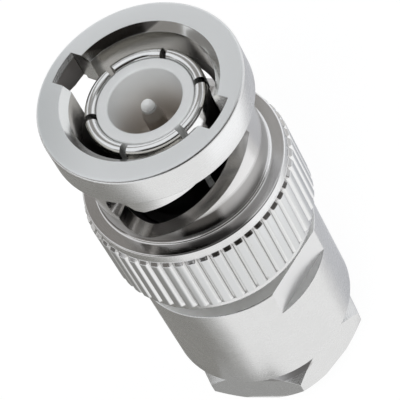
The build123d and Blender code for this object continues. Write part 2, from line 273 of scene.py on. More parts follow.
def metal(name, look):
    # turned and plated metal: rings left by the tool, fine grain, cloudy plating, and for each zone a finish,
    # where many zones also paint shade, highlights and reflections into the colour
    material, tree, shader, start, place, (x, y, z, radius) = newMaterial(name)
    cloud = start.node("ShaderNodeTexNoise", {"noise_dimensions": "3D"},
                       {"Vector": place, "Scale": look["cloudScale"], "Detail": 3.0, "Roughness": 0.55})
    grain = start.node("ShaderNodeTexNoise", {"noise_dimensions": "3D"},
                       {"Vector": place, "Scale": look["grainScale"], "Detail": 2.0})
    toolPath = start.node("ShaderNodeCombineXYZ", {}, {"X": radius, "Y": z * look["ringStretch"], "Z": 0.0})
    rings = start.node("ShaderNodeTexNoise", {"noise_dimensions": "2D"},
                       {"Vector": toolPath, "Scale": look["ringScale"], "Detail": 2.0, "Roughness": 0.7})
    colour = cloud.blend(look["dark"], look["light"])
    satin = look["roughness"] + (cloud - 0.5) * look["roughVary"] + (rings - 0.5) * look["ringRough"]
    height = rings * look["ringDepth"] + grain * look["grainDepth"]
    for area in look.get("zones", ()):
        inside = z.between(*area["z"], area["soft"]) * radius.between(*area["r"], edgeSoftness)
        if area["toward"]:
            azimuth, limit, soft = area["toward"]
            along = x * math.cos(math.radians(azimuth)) + y * math.sin(math.radians(azimuth))
            if area["both"]:
                along = along.maths("ABSOLUTE", along)
            inside = inside * along.above(limit, soft)
        colour = inside.blend(colour, area["tint"])
        satin = satin * (1 - inside) + inside * (area["rough"] + (rings - 0.5) * look["ringRough"])
        height = height * (1 - inside * area["calm"])
    plug(tree, shader, "Base Color", colour)
    plug(tree, shader, "Roughness", satin)
    shader.inputs["Metallic"].default_value = 1.0
    bump = start.node("ShaderNodeBump", {}, {"Strength": 1.0, "Distance": mm, "Height": height})
    plug(tree, shader, "Normal", bump)
    return material


nickelLook = {
    "light": (0.76, 0.76, 0.755), "dark": (0.69, 0.69, 0.685),
    "cloudScale": 0.9, "grainScale": 14.0, "grainDepth": 0.004,
    "ringScale": 16.0, "ringStretch": 1.0, "ringDepth": 0.0025, "ringRough": 0.08,
    "roughness": 0.27, "roughVary": 0.1,
}


# coupling nut

nut = {
    "mouth": 5.4, "flange": 6.95, "flangeLength": 2.45, "bore": 4.9, "mouthDepth": 0.5,
    "sleeve": 6.0, "stepDepth": 8.65, "shoulderDepth": 9.0, "rearBore": 5.9,
    "groove": 6.25, "grooveBottom": 0.59, "grooveTop": 1.37,
    "band": 7.0, "bandLength": 0.75, "knurl": 7.247, "rise": 0.25, "rimLength": 0.55,
    "teeth": 53, "rootRadius": 6.985, "grooveHalf": 0.2,
    "notchWidth": 2.45, "notchRadius": 6.2, "notchAzimuth": 125.7,
    "slotWidth": 2.75, "slotLead": 12.8, "entryDepth": 3.8, "slotSweep": 82.7,
    "detent": 1.25, "detentTurn": 6.0, "detentForward": 1.4,
    "humpOffset": 1.07, "humpFlank": [(0.0, 0.0), (0.7, 0.22), (1.16, 0.49), (1.7, 0.82)],
    "columns": (0, 0.55, 0.9, 1.12),  # of a groove's half width, where the mesh has its columns
    "cutFrom": 3.0, "cutPast": 0.5, "notchInside": 1.5, "notchAbove": 0.6,  # how far the cutters reach
    "slotSteps": 60, "notchSteps": 24,
}


def knurlAzimuths(s):
    # each tooth pitch has its columns at the groove's root, its edges and the flat between
    pitch = 2 * np.pi / s["teeth"]
    edge = s["grooveHalf"] / s["knurl"]
    near = np.array(s["columns"]) * edge
    half = np.append(near, (near[-1] + pitch / 2) / 2)
    offsets = np.concatenate([half, [pitch / 2], pitch - half[:0:-1]])
    return (np.arange(s["teeth"])[:, None] * pitch + offsets).ravel()


def helixBand(s, azimuth):
    # rectangle carried down a helix: centre (R cos p, R sin p, z - lead p / turn), width across the tangent
    high = heights("coupling_nut")[1]
    radius = (s["bore"] + s["sleeve"]) / 2
    depth = s["sleeve"] - s["bore"] + 2 * s["cutPast"]
    half = math.asin(s["notchWidth"] / 2 / s["sleeve"])
    turn = np.linspace(half, -math.radians(s["slotSweep"]), s["slotSteps"])
    p = math.radians(azimuth) + turn
    slope = s["slotLead"] / (2 * np.pi)
    out = np.stack([np.cos(p), np.sin(p), 0 * p], axis=1)
    centre = out * radius
    centre[:, 2] = high - s["entryDepth"] + slope * turn
    tangent = np.stack([-np.sin(p) * radius, np.cos(p) * radius, slope + 0 * p], axis=1)
    tangent /= np.linalg.norm(tangent, axis=1)[:, None]
    across = np.cross(out, tangent)
    corners = [(-1, -1), (1, -1), (1, 1), (-1, 1)]
    width = s["slotWidth"]
    rings = np.stack([centre + out * i * depth / 2 + across * j * width / 2 for i, j in corners], axis=1)
    return capped("slotBand", rings)


def radialCut(plan, azimuth, height, inner, outer):
    # outline of (sideways, upwards) points across a radius, carried from the inner to the outer reach
    p = math.radians(azimuth)
    out = np.array([math.cos(p), math.sin(p), 0.0])
    side = np.array([-math.sin(p), math.cos(p), 0.0])
    section = plan[:, :1] * side + (plan[:, 1:] + height) * np.array([0, 0, 1.0])
    return capped("radialCut", np.stack([section + out * reach for reach in (inner, outer)]))


def circlePlan(radius, steps=72):
    # circle: (radius cos t, radius sin t)
    t = np.linspace(0, 2 * np.pi, steps, endpoint=False)
    return radius * np.stack([np.cos(t), np.sin(t)], axis=1)


def humpPlan(s):
    # the hump's low point lies on the slot's upper edge, whose height is
    # half width * sqrt(1 + slope ^ 2) + slope * sideways; its flank rises from there to the detent
    slope = s["slotLead"] / (2 * np.pi * s["sleeve"])
    top = s["slotWidth"] / 2 * math.sqrt(1 + slope * slope) + slope * s["humpOffset"]
    flank = [(s["humpOffset"] - run, top + rise) for run, rise in s["humpFlank"]]
    return np.array([*flank, (flank[-1][0], 0), (s["humpOffset"], 0)])


def notchBlock(s, azimuth):
    # upright block from inside the bore to a round outer wall: x = sqrt(notch radius ^ 2 - y ^ 2)
    high = heights("coupling_nut")[1]
    half = s["notchWidth"] / 2
    y = np.linspace(-half, half, s["notchSteps"])
    x = np.sqrt(s["notchRadius"] ** 2 - y ** 2)
    inner = s["bore"] - s["notchInside"]
    plan = np.concatenate([np.stack([x, y], 1), [[inner, half], [inner, -half]]])
    p = math.radians(azimuth)
    spun = plan @ np.array([[math.cos(p), math.sin(p)], [-math.sin(p), math.cos(p)]])
    ends = (high - s["entryDepth"], high + s["notchAbove"])
    rings = np.stack([np.column_stack([spun, np.full(len(spun), z)]) for z in ends])
    return capped("notchCut", rings)


def couplingNut(s, material):
    low, high = heights("coupling_nut")
    step = high - s["stepDepth"]
    knurlTop = step - s["bandLength"]
    knurlBottom = low + s["rimLength"]
    shoulder = high - s["shoulderDepth"]
    profile = outline([
        (s["mouth"], high, 0.04),
        (s["flange"], high, 0.22),
        (s["flange"], high - s["flangeLength"], 0.1),
        (s["sleeve"], high - s["flangeLength"], 0.06),
        (s["sleeve"], step, 0.2),
        (s["band"], step, 0.12),
        (s["band"], knurlTop, 0.08),
        (s["knurl"], knurlTop - s["rise"], 0.1),
        (s["knurl"], knurlBottom + s["rise"], 0.05),
        (s["band"], knurlBottom, 0.03),
        (s["band"], low, 0.22),
        (s["rearBore"], low, 0.1),
        (s["rearBore"], low + s["grooveBottom"]),
        (s["groove"], low + s["grooveBottom"]),
        (s["groove"], low + s["grooveTop"]),
        (s["rearBore"], low + s["grooveTop"]),
        (s["rearBore"], shoulder),
        (s["bore"], shoulder),
        (s["bore"], high - s["mouthDepth"], 0.03),
    ])
    pitch = 2 * np.pi / s["teeth"]

    def knurled(phi, r, z):
        # V grooves: r is held to root + depth * distance from the groove's middle / half its width
        away = np.abs((phi / pitch + 0.5) % 1 - 0.5) * pitch * s["knurl"]
        floor = s["rootRadius"] + (s["knurl"] - s["rootRadius"]) * away / s["grooveHalf"]
        inKnurl = (r > s["rootRadius"]) & (z > knurlBottom - margin) & (z < knurlTop + margin)
        return np.where(inKnurl, np.minimum(r, floor), r), z

    piece = turned("couplingNut", profile, knurlAzimuths(s), knurled)
    cutters = []
    reach = (s["cutFrom"], s["sleeve"] + s["cutPast"])
    endHeight = high - s["entryDepth"] - s["slotLead"] * s["slotSweep"] / 360
    for azimuth in (s["notchAzimuth"], s["notchAzimuth"] + 180):
        end = azimuth - s["slotSweep"]
        detentHeight = endHeight + s["detentForward"]
        cutters.append(notchBlock(s, azimuth))
        cutters.append(helixBand(s, azimuth))
        cutters.append(radialCut(circlePlan(s["slotWidth"] / 2), end, endHeight, *reach))
        cutters.append(radialCut(circlePlan(s["detent"]), end - s["detentTurn"], detentHeight, *reach))
        cutters.append(radialCut(humpPlan(s), end, endHeight, *reach))
    return settle(cutBy(piece, cutters), "coupling_nut", material)


nutLow, nutHigh = heights("coupling_nut")
nutBands = {
    # heights and radii of the nut's surfaces
    "face": ((nutHigh - 0.03, nutHigh + 1), (5.38, 8.0)),
    "mouth": ((nutHigh - 0.54, nutHigh - 0.03), (4.0, 5.41)),
    "bore": ((nutHigh - 3.0, nutHigh - 0.54), (4.0, 4.95)),
    "notchWall": ((nutHigh - 3.8, nutHigh - 0.54), (6.1, 6.4)),
    "sleeve": ((nutHigh - 6.7, nutHigh - 2.6), (5.97, 6.1)),
    "foot": ((nutHigh - 8.25, nutHigh - 6.7), (5.97, 6.1)),
    "footDarkReflection": ((nutHigh - 8.2, nutHigh - 6.9), (5.97, 6.1)),
    "corner": ((nutHigh - 8.6, nutHigh - 8.25), (5.97, 6.2)),
    "cornerLine": ((nutHigh - 8.44, nutHigh - 8.25), (5.97, 6.1)),
    "hump": ((nutHigh - 5.6, nutHigh - 2.6), (5.97, 6.1)),
    "step": ((nutHigh - 8.72, nutHigh - 8.44), (5.97, 7.06)),
    "teeth": ((nutLow + 0.6, nutHigh - 9.65), (7.22, 7.4)),
    "grooves": ((nutLow + 0.6, nutHigh - 9.65), (7.03, 7.2)),
    "roots": ((nutLow + 0.6, nutHigh - 9.45), (6.9, 7.0)),
    "bevels": ((nutHigh - 9.6, nutHigh - 9.42), (7.02, 7.22)),
    "innerWall": ((nutLow + 1.5, nutHigh - 3.0), (4.0, 4.95)),
    "rearWall": ((nutLow + 1.5, nutHigh - 8.72), (4.95, 6.4)),
    "slotWalls": ((nutHigh - 8.4, nutHigh - 2.6), (4.95, 5.96)),
    "rearFace": ((nutLow - 1, nutLow + 1.5), (5.8, 6.85)),
}
nutZones = [
    zone(*nutBands["face"], 0.5, 0.0, (0.83, 0.84, 0.835)),
    zone(*nutBands["face"], 0.5, 0.0, (0.63, 0.645, 0.64), (162.0, 5.4, 2.2), both=False),  # painted shade on its darker side
    zone(*nutBands["mouth"], 0.16, 0.9, (0.74, 0.74, 0.72)),
    zone(*nutBands["mouth"], 0.16, 0.9, (0.22, 0.215, 0.21), (80.0, 4.72, 0.08), both=False),  # painted dark reflection on the far side of the mouth
    zone(*nutBands["mouth"], 0.2, 0.6, (0.26, 0.255, 0.25), (-142.0, 4.15, 0.2), both=False),  # painted dark reflection on the near side of the mouth
    zone(*nutBands["bore"], 0.2, 0.6, (0.66, 0.64, 0.60)),
    # notch walls darkened with painted shade
    zone(*nutBands["notchWall"], 0.3, 0.6, (0.36, 0.34, 0.33)),
    zone(*nutBands["sleeve"], 0.2, 0.6, (0.66, 0.65, 0.64)),
    # sleeve's foot darkened with painted shade towards the step corner
    zone(*nutBands["foot"], 0.33, 0.3, (0.40, 0.39, 0.38), soft=0.25),
    # painted dark reflection on the foot, on the side facing azimuth -98
    zone(*nutBands["footDarkReflection"], 0.2, 0.3, (0.07, 0.065, 0.06), (-98.0, 5.83, 0.08), soft=0.1),
    # corner at the step darkened with painted shade
    zone(*nutBands["corner"], 0.3, 0.8, (0.46, 0.45, 0.44)),
    # painted highlight along the corner's fillet, on one side
    zone(*nutBands["cornerLine"], 0.3, 0.8, (0.9, 0.9, 0.89), (-45.0, 3.2, 1.6), both=False),
    zone(*nutBands["hump"], 0.27, 0.0, (0.8, 0.8, 0.795), (-112.0, 5.5, 0.05)),
    zone(*nutBands["step"], 0.16, 0.6, (0.64, 0.625, 0.61)),
    zone(*nutBands["step"], 0.2, 0.6, (0.86, 0.855, 0.85), (-25.0, 5.2, 1.2), both=False),  # painted highlight on one side
    zone(*nutBands["step"], 0.14, 0.8, (0.17, 0.165, 0.16), (-100.0, 6.2, 0.3)),  # painted dark reflection
    zone(*nutBands["teeth"], 0.3, 0.0, (0.66, 0.667, 0.667)),
    # groove walls lightened with painted light
    zone(*nutBands["grooves"], 0.3, 0.0, (0.84, 0.84, 0.835)),
    # groove roots darkened with painted shade
    zone(*nutBands["roots"], 0.3, 0.0, (0.22, 0.215, 0.21)),
    # bevels darkened with painted dark reflection
    zone(*nutBands["bevels"], 0.14, 0.8, (0.5, 0.49, 0.48)),
    # inner and rear walls darkened with painted shade
    zone(*nutBands["innerWall"], 0.35, 0.3, (0.17, 0.16, 0.15)),
    zone(*nutBands["rearWall"], 0.35, 0.3, (0.20, 0.19, 0.18)),
    # slot walls darkened with painted shade
    zone(*nutBands["slotWalls"], 0.22, 0.8, (0.56, 0.545, 0.53)),
    # rear face lightened with painted light
    zone(*nutBands["rearFace"], 0.7, 0.5, (0.95, 0.95, 0.94)),
]
couplingNut(nut, metal("nutNickel", {**nickelLook, "zones": nutZones}))
print("coupling nut made")


# body

bodySizes = {
    "cavity": 5.0, "barrel": 6.5, "barrelLength": 9.0, "neck": 4.9, "neckLength": 5.9, "collar": 5.85,
    "well": 4.95, "wellDepth": 1.85, "seat": 4.3, "seatDepth": 2.6, "bore": 3.92, "cavityDepth": 8.05,
    "flatReach": 5.9, "flatLength": 2.4, "flatAzimuth": -58.0, "around": 240, "sharp": 14.0,
}


def plugBody(s, material):
    low, high = heights("body")
    top = low + s["barrelLength"]
    flatBottom = top - s["flatLength"]
    floor = low + s["cavityDepth"]
    wellFloor = high - s["wellDepth"]
    profile = outline([
        (s["barrel"], low, 0.12),
        (s["barrel"], flatBottom - hair),
        (s["barrel"], flatBottom),
        (s["barrel"], top, 0.1),
        (s["neck"], top, 0.05),
        (s["neck"], top + s["neckLength"], 0.05),
        (s["collar"], top + s["neckLength"], 0.05),
        (s["collar"], high, 0.08),
        (s["well"], high, 0.05),
        (s["well"], wellFloor),
        (s["seat"], wellFloor),
        (s["seat"], wellFloor - s["seatDepth"]),
        (s["bore"], wellFloor - s["seatDepth"]),
        (s["bore"], floor),
        (s["cavity"], floor),
        (s["cavity"], low, 0.1),
    ])
    azimuth = math.radians(s["flatAzimuth"])
    spread = math.acos(s["flatReach"] / s["barrel"])
    edges = azimuth + np.array([-spread, spread, np.pi - spread, np.pi + spread])
    even = np.linspace(0, 2 * np.pi, s["around"], endpoint=False)
    azimuths = np.unique(np.concatenate([even, edges % (2 * np.pi)]))

    def flats(phi, r, z):
        # above the ledge, r is held to reach / cos(angle from the flat's middle)
        off = (phi - azimuth + np.pi / 2) % np.pi - np.pi / 2
        held = s["flatReach"] / np.cos(off)
        return np.where((z > flatBottom - hair / 2) & (z < top + margin), np.minimum(r, held), r), z

    return settle(turned("plugBody", profile, azimuths, flats, s["sharp"]), "body", material)


bodyLow, bodyHigh = heights("body")
bodyZones = [
    # neck and collar under the nut darkened with painted shade, bore darkened with painted shade, barrel's
    # front face lightened with painted light, wrench flats, their ledge with a painted highlight, rear face
    # darkened with painted shade
    zone((bodyLow + 12.0, bodyHigh + 1), (3.0, 5.95), 0.3, 0.5, (0.20, 0.19, 0.18)),
    zone((bodyLow + 0.2, bodyLow + 8.9), (3.0, 5.1), 0.4, 0.3, (0.5, 0.49, 0.48)),
    zone((bodyLow + 8.96, bodyLow + 12.0), (5.0, 6.42), 0.7, 0.3, (0.97, 0.97, 0.96)),
    zone((bodyLow + 6.66, bodyLow + 8.96), (5.85, 6.47), 0.3, 0.3, (0.76, 0.76, 0.76)),
    zone((bodyLow + 6.54, bodyLow + 6.64), (5.85, 6.46), 0.5, 0.0, (0.97, 0.97, 0.96)),
    zone((bodyLow - 0.1, bodyLow + 0.08), (5.1, 6.49), 0.3, 0.0, (0.30, 0.29, 0.28)),
]
plugBody(bodySizes, metal("bodyNickel", {**nickelLook, "zones": bodyZones}))
print("body made")


# clamp nut

clampSizes = {
    "flat": 5.75, "height": 3.4, "frontRadius": 5.45, "frontSlope": 54.0, "rearRadius": 5.85, "rearSlope": 50.0,
    "turn": 25.1, "bore": 3.2, "mouth": 0.4, "shank": 4.95, "pitch": 0.75, "threadDepth": 0.32,
    "relief": 0.45, "lead": 0.3, "overlap": 0.02, "seatShare": 0.9, "edge": 0.05, "edgeAngle": 18.0,
    "headStep": 1.25, "rows": 86, "around": 144, "threadGain": 1.25, "threadShift": 0.1, "threadSharp": 40.0,
}


def clampHead(s):
    # hexagon of radius flat / cos(angle from the flat), with a cone on each end: the outline's
    # cone points take that radius and the height where the cone meets it
    turn = math.radians(s["turn"])
    azimuths = turn + np.arange(0, 360, s["headStep"]) / 180 * np.pi
    off = (azimuths - turn) % (np.pi / 3) - np.pi / 6
    side = s["flat"] / np.cos(off)
    frontZ = s["height"] - (side - s["frontRadius"]) * math.tan(math.radians(s["frontSlope"]))
    rearZ = np.maximum(side - s["rearRadius"], 0) * math.tan(math.radians(s["rearSlope"]))
    rear = np.minimum(side, s["rearRadius"])
    one = np.ones_like(azimuths)
    r = np.stack([one * (s["bore"] + s["mouth"]), rear, side, side, one * s["frontRadius"],
                  one * s["shank"] * s["seatShare"], one * s["bore"], one * s["bore"]], axis=1)
    z = np.stack([0 * one, 0 * one, rearZ, frontZ, one * s["height"], one * s["height"],
                  one * s["height"], one * s["mouth"]], axis=1)
    points = np.stack([r * np.cos(azimuths)[:, None], r * np.sin(azimuths)[:, None], z], axis=-1)
    piece = meshObject("clampHead", points.reshape(-1, 3), gridFaces(len(azimuths), 8), s["edgeAngle"])
    bevel = piece.modifiers.new("edge", "BEVEL")
    bevel.width, bevel.segments, bevel.limit_method = s["edge"] * mm, 2, "ANGLE"
    bevel.angle_limit = math.radians(s["edgeAngle"])
    return piece


def clampShank(s):
    # thread: r = shank - depth * (gain * w - shift, held to 0..1), where w is a triangle wave of
    # (z / pitch - phi / turn); r stays at the root beside the head, and narrows along the lead at the end
    high = heights("clamp_nut")[1]
    foot = s["height"] + s["overlap"]
    z = np.linspace(foot, high, s["rows"])
    azimuths = np.linspace(0, 2 * np.pi, s["around"], endpoint=False)
    outer = np.stack([np.full_like(z, s["shank"]), z], axis=1)
    inner = np.array([[s["bore"], high], [s["bore"], foot]])

    def threaded(phi, r, z):
        wave = np.abs(2 * ((z / s["pitch"] - phi / (2 * np.pi)) % 1) - 1)
        fade = np.clip((z - s["height"]) / s["relief"], 0, 1)
        groove = np.clip(s["threadGain"] * wave - s["threadShift"], 0, 1)
        crest = s["shank"] - s["threadDepth"] * np.where(fade < 1, 1, groove)
        crest = np.minimum(crest, s["shank"] - (s["lead"] - (high - z)))
        return np.where(r > s["bore"] + margin, crest, r), z

    return turned("clampShank", np.concatenate([outer, inner]), azimuths, threaded, s["threadSharp"])


# painted shadow under the barrel's edge, on the side facing azimuth -107
clampZones = [zone((2.38, 3.6), (5.2, 6.6), 0.3, 0.0, (0.50, 0.49, 0.485), (-107.0, 5.4, 0.1))]
clampMetal = metal("clampNickel", {**nickelLook, "zones": clampZones})
settle(clampHead(clampSizes), "clamp_nut", clampMetal)
settle(clampShank(clampSizes), "clamp_nut", clampMetal)
print("clamp nut made")


# mating contacts

contactSizes = {
    "bore": 3.3, "stem": 3.9, "tip": 4.1, "root": 4.3, "rootLength": 2.6, "bead": 1.3, "rounding": 0.39,
    "slots": 6, "slotWidth": 0.45, "slotLength": 6.4, "slotAzimuth": 165.0,
    "overlap": 0.02, "beadSlope": 0.2, "fingerSteps": 20,
}


def contactTube(s, material):
    low, high = heights("outer_contact")
    split = high - s["slotLength"]
    profile = outline([
        (s["bore"], low),
        (s["root"], low),
        (s["root"], low + s["rootLength"]),
        (s["stem"], low + s["rootLength"]),
        (s["stem"], split),
        (s["bore"], split),
    ])
    settle(turned("contactRoot", profile), "outer_contact", material)
    finger = outline([
        (s["bore"], split - s["overlap"]),
        (s["stem"], split - s["overlap"]),
        (s["stem"], high - s["bead"] - s["beadSlope"], 0.1),
        (s["tip"], high - s["bead"], 0.15),
        (s["tip"], high, s["rounding"]),
        (s["bore"], high, s["rounding"]),
    ], 6)
    # each outline point sweeps from one slot wall to the next, over phi = edge .. pitch - edge;
    # the walls are flat, so edge = arcsin(half the slot's width / r)
    u = np.linspace(0, 1, s["fingerSteps"])
    pitch = 2 * np.pi / s["slots"]
    edge = np.arcsin(s["slotWidth"] / 2 / finger[:, 0])
    sweep = edge[None] + u[:, None] * (pitch - 2 * edge[None])
    for i in range(s["slots"]):
        phi = math.radians(s["slotAzimuth"]) + i * pitch + sweep
        r = np.broadcast_to(finger[:, 0], phi.shape)
        z = np.broadcast_to(finger[:, 1], phi.shape)
        rings = np.stack([r * np.cos(phi), r * np.sin(phi), z], axis=-1)
        settle(capped(f"contactFinger{i + 1}", rings), "outer_contact", material)


contactLook = {
    **nickelLook, "light": (0.80, 0.80, 0.79), "dark": (0.72, 0.72, 0.71), "roughness": 0.15,
    "roughVary": 0.08, "ringRough": 0.04, "ringDepth": 0.0015, "grainDepth": 0.002,
}
contactMetal = metal("contactPlate", contactLook)
contactTube(contactSizes, contactMetal)

pinSizes = {
    "radius": 0.675, "taper": 1.3, "tipEdge": 0.4, "tipLength": 0.15, "tip": 0.21,
    "shank": 1.0, "collar": 1.4, "collarFrom": 7.6, "collarLength": 0.8, "recessFloor": 13.5,
    "tail": 1.05, "cup": 0.6, "cupDepth": 3.4, "around": 96,
}


def centrePin(s, material):
    low, high = heights("centre_pin")
    collar = low + s["collarFrom"]
    profile = outline([
        (0.0, low + s["cupDepth"]),
        (s["cup"], low + s["cupDepth"]),
        (s["cup"], low, 0.05),
        (s["tail"], low, 0.08),
        (s["tail"], collar),
        (s["collar"], collar),
        (s["collar"], collar + s["collarLength"]),
        (s["shank"], collar + s["collarLength"]),
        (s["shank"], low + s["recessFloor"]),
        (s["radius"], low + s["recessFloor"]),
        (s["radius"], high - s["taper"], 0.4),
        (s["tipEdge"], high - s["tipLength"], 0.3),
        (s["tip"], high, 0.2),
        (0.0, high),
    ], 6)
    azimuths = np.linspace(0, 2 * np.pi, s["around"], endpoint=False)
    return settle(turned("centrePin", profile, azimuths), "centre_pin", material)


pinHigh = heights("centre_pin")[1]
pinZones = [
    # tapered shaft darkened and warmed with painted shade, blunt tip whitened with a painted highlight
    zone((0, pinHigh - 0.6), (0.0, 1.5), 0.3, 0.0, (0.50, 0.46, 0.42)),
    zone((pinHigh - 0.4, pinHigh + 1), (-1, 1.5), 0.85, 0.0, (1.0, 1.0, 0.99)),
]
centrePin(pinSizes, metal("pinPlate", {**contactLook, "zones": pinZones}))
print("contacts made")


# insulators

def plastic(name, look):
    # moulded or turned plastic: faint tool rings, cloudy body and light passing under the surface, and where
    # the look asks for it, painted shade that turns the colour darker and warmer deeper into a recess
    material, tree, shader, start, place, (*_, z, radius) = newMaterial(name)
    cloud = start.node("ShaderNodeTexNoise", {"noise_dimensions": "3D"},
                       {"Vector": place, "Scale": look["cloudScale"], "Detail": 3.0})
    rings = start.node("ShaderNodeTexNoise", {"noise_dimensions": "1D"},
                       {"W": radius + z, "Scale": look["ringScale"], "Detail": 2.0})
    colour = cloud.blend(look["dark"], look["light"])
    # painted shade: darker and warmer with depth below the face, inside the recess's radius
    if "deep" in look:
        top, bottom, reach = look["deepRange"]
        depth = (1 - z.above((top + bottom) / 2, (top - bottom) / 2)) * (1 - radius.above(reach, edgeSoftness))
        colour = depth.blend(colour, look["deep"])
    plug(tree, shader, "Base Color", colour)
    plug(tree, shader, "Roughness", look["roughness"] + (cloud - 0.5) * look["roughVary"])
    shader.inputs["Subsurface Weight"].default_value = look["under"]
    shader.inputs["Subsurface Radius"].default_value = [look["underReach"] * mm] * 3
    shader.inputs["Subsurface Scale"].default_value = 1.0
    height = rings * look["ringDepth"]
    bump = start.node("ShaderNodeBump", {}, {"Strength": 1.0, "Distance": mm, "Height": height})
    plug(tree, shader, "Normal", bump)
    return material


faceHeight = heights("front_insulator")[1]
mouldedLook = {"cloudScale": 1.3, "ringScale": 9.0, "roughVary": 0.15, "underReach": 0.6}
insulatorLook = {
    **mouldedLook, "light": (0.83, 0.84, 0.835), "dark": (0.77, 0.78, 0.775), "roughness": 0.42, "under": 0.25,
    "ringDepth": 0.004, "deep": (0.60, 0.545, 0.49), "deepRange": (faceHeight - 0.4, faceHeight - 5.2, 2.52),
}
rubberLook = {
    **mouldedLook, "light": (0.035, 0.035, 0.036), "dark": (0.02, 0.02, 0.021), "roughness": 0.6, "under": 0.0,
    "ringDepth": 0.006,
}
insulatorPlastic = plastic("insulatorPlastic", insulatorLook)
gasketRubber = plastic("gasketRubber", rubberLook)

insulatorSizes = {
    "outer": 3.28, "recess": 2.5, "recessDepth": 5.4, "pinHole": 1.02, "collarHole": 1.42, "collarDepth": 0.42,
}
rearSizes = {
    "pinHole": 1.07, "outer": 3.9, "spigot": 3.28, "spigotLength": 1.5, "collarHole": 1.42, "collarDepth": 0.42,
}


def frontInsulator(s, material):
    low, high = heights("front_insulator")
    profile = outline([
        (s["collarHole"], low),
        (s["outer"], low),
        (s["outer"], high, 0.12),
        (s["recess"], high, 0.15),
        (s["recess"], high - s["recessDepth"], 0.5),
        (s["pinHole"], high - s["recessDepth"]),
        (s["pinHole"], low + s["collarDepth"]),
        (s["collarHole"], low + s["collarDepth"]),
    ], 6)
    return settle(turned("frontInsulator", profile), "front_insulator", material)


def rearInsulator(s, material):
    low, high = heights("rear_insulator")
    profile = outline([
        (s["pinHole"], low, 0.08),
        (s["outer"], low, 0.12),
        (s["outer"], high - s["spigotLength"], 0.1),
        (s["spigot"], high - s["spigotLength"]),
        (s["spigot"], high),
        (s["collarHole"], high),
        (s["collarHole"], high - s["collarDepth"]),
        (s["pinHole"], high - s["collarDepth"]),
    ])
    return settle(turned("rearInsulator", profile), "rear_insulator", material)


frontInsulator(insulatorSizes, insulatorPlastic)
rearInsulator(rearSizes, insulatorPlastic)
print("insulators made")


# small turned rings

steelLook = {**nickelLook, "light": (0.62, 0.62, 0.61), "dark": (0.54, 0.54, 0.53), "roughness": 0.35}
springSteel = metal("springSteel", steelLook)
ringMetal = metal("ringNickel", nickelLook)
plainRings = {
    # piece: node, inner and outer radius, edge rounding, finish
    "interfaceGasket": ("interface_gasket", 3.92, 4.93, 0.12, gasketRubber),
    "thrustWasher": ("thrust_washer", 4.95, 5.85, 0.05, ringMetal),
    "clampWasher": ("clamp_washer", 2.8, 4.9, 0.06, ringMetal),
}


def plainRing(name, node, inner, outer, edge, material):
    low, high = heights(node)
    profile = outline([(inner, low, edge), (outer, low, edge), (outer, high, edge), (inner, high, edge)])
    return settle(turned(name, profile), node, material)


for name, ring in plainRings.items():
    plainRing(name, *ring)

ferruleSizes = {"bore": 2.45, "nose": 3.3, "cone": 4.0, "coneLength": 1.3, "flange": 4.9}


def braidFerrule(s, material):
    low, high = heights("braid_ferrule")
    profile = outline([
        (s["bore"], low, 0.08),
        (s["nose"], low, 0.06),
        (s["cone"], low + s["coneLength"], 0.05),
        (s["flange"], low + s["coneLength"], 0.05),
        (s["flange"], high, 0.05),
        (s["bore"], high, 0.1),
    ])
    return settle(turned("braidFerrule", profile), "braid_ferrule", material)


gasketSizes = {"bore": 2.75, "outer": 4.9, "mouth": 4.05, "seat": 3.35, "seatHeight": 1.25}


def cableGasket(s, material):
    low, high = heights("cable_gasket")
    profile = outline([
        (s["bore"], low, 0.12),
        (s["outer"], low, 0.12),
        (s["outer"], high, 0.05),
        (s["mouth"], high, 0.03),
        (s["seat"], low + s["seatHeight"], 0.03),
        (s["bore"], low + s["seatHeight"], 0.1),
    ])
    return settle(turned("cableGasket", profile), "cable_gasket", material)


braidFerrule(ferruleSizes, ringMetal)
cableGasket(gasketSizes, gasketRubber)

partRing = {"inner": 5.15, "outer": 6.2, "edge": 0.05, "halfMouth": 1.605, "steps": 160}


def retainingRing(s, material):
    # part ring: each outline point goes round from one flat end of the mouth to the other,
    # over phi = start .. turn - start, where start = arcsin(half the mouth / r)
    low, high = heights("retaining_ring")
    inner, outer, edge = s["inner"], s["outer"], s["edge"]
    profile = outline([(inner, low, edge), (outer, low, edge), (outer, high, edge), (inner, high, edge)])
    start = np.arcsin(s["halfMouth"] / profile[:, 0])
    u = np.linspace(0, 1, s["steps"])[:, None]
    phi = start + u * (2 * np.pi - 2 * start)
    r = np.broadcast_to(profile[:, 0], phi.shape)
    z = np.broadcast_to(profile[:, 1], phi.shape)
    rings = np.stack([r * np.cos(phi), r * np.sin(phi), z], -1)
    return settle(capped("retainingRing", rings), "retaining_ring", material)


springSizes = {"strip": 0.22, "inner": 5.0, "outer": 5.8, "waves": 3}


def waveSpring(s, number, side, material):
    # strip ring with height = middle + amplitude * sin(waves * phi); the slide takes 0.8 mm off the pair
    node = f"wave_spring_{number}"
    low, high = heights(node)
    strip = s["strip"]
    profile = np.array([(s["inner"], 0), (s["outer"], 0), (s["outer"], strip), (s["inner"], strip)])

    def waved(phi, r, z):
        middle = (low + high - strip) / 2
        return r, middle + z + side * (high - low - strip) / 2 * np.sin(s["waves"] * phi)

    piece = settle(turned(f"waveSpring{number}", profile, shape=waved), node, material)
    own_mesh(piece)


retainingRing(partRing, springSteel)
waveSpring(springSizes, 1, 1, springSteel)
waveSpring(springSizes, 2, -1, springSteel)
print("rings and springs made")


# floor, light and camera

def raysSeen(tree):
    # 1 for camera, glossy and transmission rays, 0 for the rays that light matt surfaces
    rays = tree.nodes.new("ShaderNodeLightPath")
    seen = Wire(tree, rays.outputs["Is Camera Ray"])
    for name in ("Is Glossy Ray", "Is Transmission Ray"):
        seen = seen.maths("MAXIMUM", seen, Wire(tree, rays.outputs[name]))
    return seen


